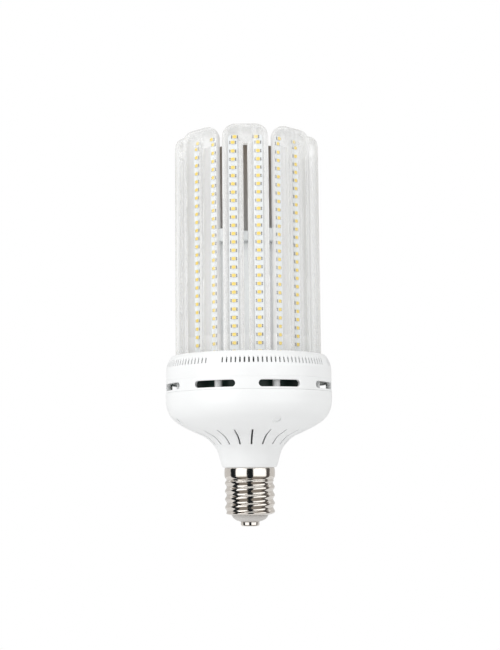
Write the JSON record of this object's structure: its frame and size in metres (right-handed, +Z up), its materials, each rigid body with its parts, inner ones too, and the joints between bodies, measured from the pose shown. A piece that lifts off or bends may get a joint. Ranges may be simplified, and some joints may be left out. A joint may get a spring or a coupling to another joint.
{
  "type": "led corn lamp",
  "caption": "Large screw-base LED lamp with U-shaped clear tubes of light chips around a core, on a white bowl-shaped vented housing.",
  "frame": {"origin": "centre of the bottom contact's flat face, the lowest point on the lamp's axis", "axes": "+Z up along the lamp's axis from the cap to the tube tops, tube 1 faces -Y, +X to its right"},
  "size_m": [0.132, 0.132, 0.3102],
  "materials": {
    "nickel": "bright nickel plate, drawn and rolled",
    "insulator": "grey-white vitrified insulator, semi-gloss",
    "white_housing": "fine-grained white moulded plastic",
    "dark_core": "dark brown-grey anodised aluminium, satin",
    "white_sleeve": "thin pale grey-white plastic sleeve",
    "clip_plastic": "milky moulded plastic",
    "green_board": "green solder mask on fibreglass board",
    "dark_parts": "black sleeve and case of driver parts",
    "copper_winding": "enamelled copper wire on a ferrite ring",
    "bare_aluminium": "bare extruded aluminium",
    "lead_rubber": "insulated lead",
    "screw_steel": "zinc-plated steel",
    "clear_lens": "clear polycarbonate, polished, faint draw lines",
    "white_back": "white polycarbonate, slightly translucent",
    "white_board": "bluish white solder mask on aluminium board",
    "led_chips": "yellow phosphor in a white package"
  },
  "bodies": {
    "root": {"centre_contact": "nickel", "insulator": "insulator", "screw_shell": "nickel", "lower_housing": "white_housing", "vent_ring": "white_housing", "top_cover": "white_housing", "heat_sink_core": "dark_core", "inner_sleeve": "white_sleeve", "clip_ring": "clip_plastic", "driver_board": "green_board", "insulation_sheet": "dark_parts", "transformer": "dark_parts", "capacitors": "dark_parts", "choke": "copper_winding", "film_capacitor": "dark_parts", "switch_heatsink": "bare_aluminium", "leads": "lead_rubber", "housing_screws": "screw_steel", "screw_plugs": "white_housing", "tube_1_lens": "clear_lens", "tube_1_back": "white_back", "tube_1_boards": "white_board", "tube_1_leds": "led_chips", "tube_2_lens": "clear_lens", "tube_2_back": "white_back", "tube_2_boards": "white_board", "tube_2_leds": "led_chips", "tube_3_lens": "clear_lens", "tube_3_back": "white_back", "tube_3_boards": "white_board", "tube_3_leds": "led_chips", "tube_4_lens": "clear_lens", "tube_4_back": "white_back", "tube_4_boards": "white_board", "tube_4_leds": "led_chips", "tube_5_lens": "clear_lens", "tube_5_back": "white_back", "tube_5_boards": "white_board", "tube_5_leds": "led_chips", "tube_6_lens": "clear_lens", "tube_6_back": "white_back", "tube_6_boards": "white_board", "tube_6_leds": "led_chips", "tube_7_lens": "clear_lens", "tube_7_back": "white_back", "tube_7_boards": "white_board", "tube_7_leds": "led_chips", "tube_8_lens": "clear_lens", "tube_8_back": "white_back", "tube_8_boards": "white_board", "tube_8_leds": "led_chips"}
  },
  "joints": []
}
